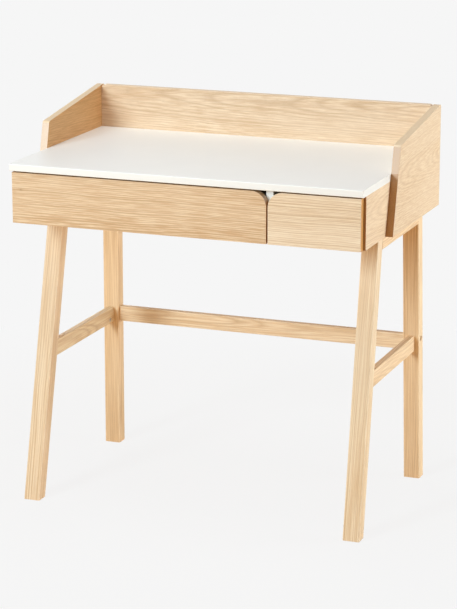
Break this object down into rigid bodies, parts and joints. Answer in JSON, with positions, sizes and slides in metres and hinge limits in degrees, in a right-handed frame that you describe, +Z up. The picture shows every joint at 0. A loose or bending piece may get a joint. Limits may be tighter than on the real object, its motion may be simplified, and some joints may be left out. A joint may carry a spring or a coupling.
{
  "type": "writing desk with drawers",
  "caption": "Compact writing desk: white worktop in a raised oak gallery, unequal drawers on roller runners, leaning legs with rails and stretchers.",
  "frame": {"origin": "on the floor, midway across the overall width and the overall depth", "axes": "+X to the sitter's right, +Y to the back of the desk, +Z up"},
  "size_m": [0.812, 0.496, 0.846],
  "materials": {
    "oak_veneer": "satin lacquered oak veneer",
    "oak_solid": "satin lacquered solid oak",
    "white_board": "satin white lacquered board",
    "drawer_board": "pale plywood",
    "runner_steel": "white powder coat",
    "nylon": "satin",
    "zinc_steel": "bright zinc plated",
    "dowel_beech": "raw beech",
    "glide_plastic": "matt"
  },
  "bodies": {
    "desk": {"worktop": "white_board", "case_divider": "white_board", "case_bottom": "oak_veneer", "case_side_left": "oak_veneer", "case_side_right": "oak_veneer", "gallery_side_left": "oak_veneer", "gallery_side_right": "oak_veneer", "gallery_back": "oak_veneer", "front_leg_left": "oak_solid", "front_leg_right": "oak_solid", "rear_leg_left": "oak_solid", "rear_leg_right": "oak_solid", "top_rail_left": "oak_solid", "top_rail_right": "oak_solid", "side_stretcher_left": "oak_solid", "side_stretcher_right": "oak_solid", "rear_stretcher": "oak_solid", "case_runner_large_left": "runner_steel", "case_runner_large_right": "runner_steel", "case_runner_small_left": "runner_steel", "case_runner_small_right": "runner_steel", "case_runner_screws": "zinc_steel", "frame_bolts": "zinc_steel", "barrel_nuts": "zinc_steel", "frame_screws": "zinc_steel", "gallery_screws": "zinc_steel", "back_screws": "zinc_steel", "case_dowels": "dowel_beech", "frame_dowels": "dowel_beech", "foot_glides": "glide_plastic"},
    "large_drawer": {"large_drawer_front": "oak_veneer", "large_drawer_side_left": "drawer_board", "large_drawer_side_right": "drawer_board", "large_drawer_back": "drawer_board", "large_drawer_base": "drawer_board", "large_drawer_runner_left": "runner_steel", "large_drawer_runner_right": "runner_steel", "large_drawer_dowels": "dowel_beech", "large_drawer_back_screws": "zinc_steel", "large_drawer_runner_screws": "zinc_steel"},
    "case_roller_large_left": {"case_roller_large_left": "nylon"},
    "large_drawer_roller_left": {"large_drawer_roller_left": "nylon"},
    "case_roller_large_right": {"case_roller_large_right": "nylon"},
    "large_drawer_roller_right": {"large_drawer_roller_right": "nylon"},
    "small_drawer": {"small_drawer_front": "oak_veneer", "small_drawer_side_left": "drawer_board", "small_drawer_side_right": "drawer_board", "small_drawer_back": "drawer_board", "small_drawer_base": "drawer_board", "small_drawer_runner_left": "runner_steel", "small_drawer_runner_right": "runner_steel", "small_drawer_dowels": "dowel_beech", "small_drawer_back_screws": "zinc_steel", "small_drawer_runner_screws": "zinc_steel"},
    "case_roller_small_left": {"case_roller_small_left": "nylon"},
    "small_drawer_roller_left": {"small_drawer_roller_left": "nylon"},
    "case_roller_small_right": {"case_roller_small_right": "nylon"},
    "small_drawer_roller_right": {"small_drawer_roller_right": "nylon"}
  },
  "joints": [
    {"name": "large_drawer_slide", "type": "slide", "parent": "desk", "child": "large_drawer", "axis": [0, -1, 0], "range_m": [0, 0.3]},
    {"name": "case_roller_large_left_spin", "type": "hinge", "parent": "desk", "child": "case_roller_large_left", "pos_m": [-0.3685, -0.215, 0.6523], "axis": [1, 0, 0], "range_deg": [0, 1910]},
    {"name": "large_drawer_roller_left_spin", "type": "hinge", "parent": "large_drawer", "child": "large_drawer_roller_left", "pos_m": [-0.3661, 0.1575, 0.6505], "axis": [1, 0, 0], "range_deg": [0, 1910]},
    {"name": "case_roller_large_right_spin", "type": "hinge", "parent": "desk", "child": "case_roller_large_right", "pos_m": [0.1725, -0.215, 0.6523], "axis": [1, 0, 0], "range_deg": [0, 1910]},
    {"name": "large_drawer_roller_right_spin", "type": "hinge", "parent": "large_drawer", "child": "large_drawer_roller_right", "pos_m": [0.1701, 0.1575, 0.6505], "axis": [1, 0, 0], "range_deg": [0, 1910]},
    {"name": "small_drawer_slide", "type": "slide", "parent": "desk", "child": "small_drawer", "axis": [0, -1, 0], "range_m": [0, 0.3]},
    {"name": "case_roller_small_left_spin", "type": "hinge", "parent": "desk", "child": "case_roller_small_left", "pos_m": [0.1985, -0.215, 0.6523], "axis": [1, 0, 0], "range_deg": [0, 1910]},
    {"name": "small_drawer_roller_left_spin", "type": "hinge", "parent": "small_drawer", "child": "small_drawer_roller_left", "pos_m": [0.2009, 0.1575, 0.6505], "axis": [1, 0, 0], "range_deg": [0, 1910]},
    {"name": "case_roller_small_right_spin", "type": "hinge", "parent": "desk", "child": "case_roller_small_right", "pos_m": [0.3685, -0.215, 0.6523], "axis": [1, 0, 0], "range_deg": [0, 1910]},
    {"name": "small_drawer_roller_right_spin", "type": "hinge", "parent": "small_drawer", "child": "small_drawer_roller_right", "pos_m": [0.3661, 0.1575, 0.6505], "axis": [1, 0, 0], "range_deg": [0, 1910]}
  ],
  "couplings": [
    {"joint": "case_roller_large_left_spin", "follows": "large_drawer_slide", "rad_per_m": 111.11},
    {"joint": "large_drawer_roller_left_spin", "follows": "large_drawer_slide", "rad_per_m": 111.11},
    {"joint": "case_roller_large_right_spin", "follows": "large_drawer_slide", "rad_per_m": 111.11},
    {"joint": "large_drawer_roller_right_spin", "follows": "large_drawer_slide", "rad_per_m": 111.11},
    {"joint": "case_roller_small_left_spin", "follows": "small_drawer_slide", "rad_per_m": 111.11},
    {"joint": "small_drawer_roller_left_spin", "follows": "small_drawer_slide", "rad_per_m": 111.11},
    {"joint": "case_roller_small_right_spin", "follows": "small_drawer_slide", "rad_per_m": 111.11},
    {"joint": "small_drawer_roller_right_spin", "follows": "small_drawer_slide", "rad_per_m": 111.11}
  ]
}
